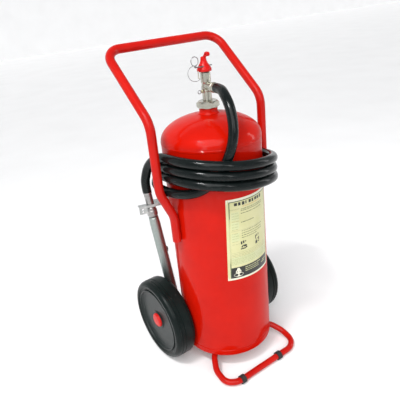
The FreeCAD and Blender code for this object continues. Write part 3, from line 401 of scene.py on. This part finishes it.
for v in (97.5, 92.5, 84.0):
    text_row(fine, -40, 50 if v > 86 else 46, v, 1.9)
text_row(fine, -40, 8, 55.5, 2.4)
for v, end in ((27, 50), (19.5, 46), (12, 48), (5, 22)):
    text_row(fine, -39, end, v, 1.8)
fine.done()
faint = Print("label_faint_bars", "ink_faint", 0.08)
for v in (101.5, 99.6, 31.5, -41.5, -62):
    faint.bar(-72.5, v, 60 if v < 95 else -44, v + 0.9)
for v in (88, 79, 71, 62, 53, 44, 36, 22, 14, 6, -4, -13):
    text_row(faint, -68, -47, v, 1.5)
for v in (-47, -52, -57, -66, -71, -76, -81):
    text_row(faint, -70, 68, v, 1.6)
faint.done()
marks = Print("label_pictogram_blocks", "ink_black", 0.1)
for u0, v0, u1, v1 in ((-43, -16, -38, -6), (-36, -14, -31, -5), (-28, -11, -25, -6), (-43.5, -33, -26, -29.5), (-41, -27, -36, -22.5),
                       (-33, -26, -22.5, -21), (-27, -31, -21, -27), (-38, -22.5, -24, -19.5),
                       (12.5, -16, 16, -3), (18.5, -9, 22, -2), (26, -8, 29, -1), (13, -33, 22, -23), (15, -21, 19, -18),
                       (25, -30, 31, -26.5), (28, -25, 32, -14), (23, -20, 26, -16)):
    marks.bar(u0, v0, u1, v1)
marks.done()
band = Print("label_band", "ink_black", 0.08)
band.bar(-72.6, -127.5, 75.4, -91)
band.done()
blob = Print("label_band_blob", "edge", 0.12)
blob.blob(-52, -117, 14.5, 7.2).blob(-52.5, -106.5, 8.4, 7.6).blob(-52.5, -97.8, 4.6, 4.0)
blob.done()
pale = Print("label_band_bars", "ink_faint", 0.12)
for v, h in ((-99.5, 3.4), (-106, 3.0), (-112, 3.0)):
    text_row(pale, -30, 34 if v > -104 else 26, v, h)
pale.bar(40, -112, 60, -108.5).bar(46, -106, 66, -102.5)
pale.done()

# ------------------------------------------------------------------ floor, light and camera
me = bpy.data.meshes.new("floor")
bm = bmesh.new()
bmesh.ops.create_grid(bm, x_segments=2, y_segments=2, size=30.0)
bm.to_mesh(me)
bm.free()
floor = link(bpy.data.objects.new("floor", me))
fm = Mat("floor_pale")
fm.colour(fm.noise(2.0, 3.0), [(0.3, (0.93, 0.93, 0.93, 1)), (0.7, (0.97, 0.97, 0.97, 1))])
fm.set(Roughness=0.9)
me.materials.append(fm.m)
me2 = bpy.data.meshes.new("backdrop")
me2.from_pydata([(-30, 14, -0.01), (30, 14, -0.01), (30, 14, 20), (-30, 14, 20)], [], [(0, 1, 2, 3)])
backdrop = link(bpy.data.objects.new("backdrop", me2))
me2.materials.append(fm.m)


def area(name, loc, size, energy, target=(0, 0, 0.55), colour=(1, 1, 1), shape="RECTANGLE", size_y=None):
    li = bpy.data.lights.new(name, "AREA")
    li.shape = shape
    li.size = size
    li.size_y = size_y or size
    li.energy = energy
    li.color = colour
    ob = link(bpy.data.objects.new(name, li))
    ob.location = loc
    ob.rotation_euler = (Vector(target) - Vector(loc)).to_track_quat("-Z", "Y").to_euler()
    return ob


def sun(name, direction, strength, angle, colour=(1, 1, 1)):
    li = bpy.data.lights.new(name, "SUN")
    li.energy = strength
    li.angle = math.radians(angle)
    li.color = colour
    ob = link(bpy.data.objects.new(name, li))
    ob.location = direction
    ob.rotation_euler = (-Vector(direction)).to_track_quat("-Z", "Y").to_euler()
    return ob


sun("sun_soft", (-1.5, -1.7, 2.3), 1.6, 50)
area("strip", (-1.36, -0.50, 2.80), 0.55, 38, target=(-0.10, -0.11, 0.79), size_y=0.045)
area("window_left", (-2.3, -1.9, 1.5), 0.5, 6, size_y=1.6)
area("window_front", (-0.2, -2.5, 1.9), 0.3, 9, size_y=1.2)
area("window_right", (2.4, -1.0, 1.3), 0.35, 9, size_y=1.8)
world = bpy.data.worlds.new("world")
world.use_nodes = True
wn = world.node_tree
coords = wn.nodes.new("ShaderNodeTexCoord")
split = wn.nodes.new("ShaderNodeSeparateXYZ")
ramp = wn.nodes.new("ShaderNodeValToRGB")
wn.links.new(coords.outputs["Generated"], split.inputs[0])
wn.links.new(split.outputs[2], ramp.inputs[0])
ramp.color_ramp.elements[0].position, ramp.color_ramp.elements[0].color = 0.0, (0.60, 0.61, 0.62, 1)
ramp.color_ramp.elements[1].position, ramp.color_ramp.elements[1].color = 0.7, (0.42, 0.42, 0.43, 1)
wn.links.new(ramp.outputs[0], wn.nodes["Background"].inputs[0])
wn.nodes["Background"].inputs[1].default_value = 1.0
bpy.context.scene.world = world
bpy.context.scene.view_settings.view_transform = "Standard"

AZ, EL, ROLL, DIST = -33.47780, 23.77595, -6.01479, 1.404274
TARGET = Vector((-0.0616622, 0.00099997 + TY, 0.573995))
a, e, ro = (math.radians(v) for v in (AZ, EL, ROLL))
back = Vector((math.sin(a) * math.cos(e), -math.cos(a) * math.cos(e), math.sin(e)))
r1 = Vector((math.cos(a), math.sin(a), 0))
u1 = back.cross(r1)
right = math.cos(ro) * r1 + math.sin(ro) * u1
up = -math.sin(ro) * r1 + math.cos(ro) * u1
cam_data = bpy.data.cameras.new("camera")
cam_data.sensor_fit = "HORIZONTAL"
cam_data.sensor_width = 36.0
cam_data.lens = 455.230 / 400.0 * 36.0
cam = link(bpy.data.objects.new("camera", cam_data))
cam.matrix_world = Matrix.Translation(TARGET + back * DIST) @ Matrix((right, up, back)).transposed().to_4x4()
bpy.context.scene.camera = cam

import json
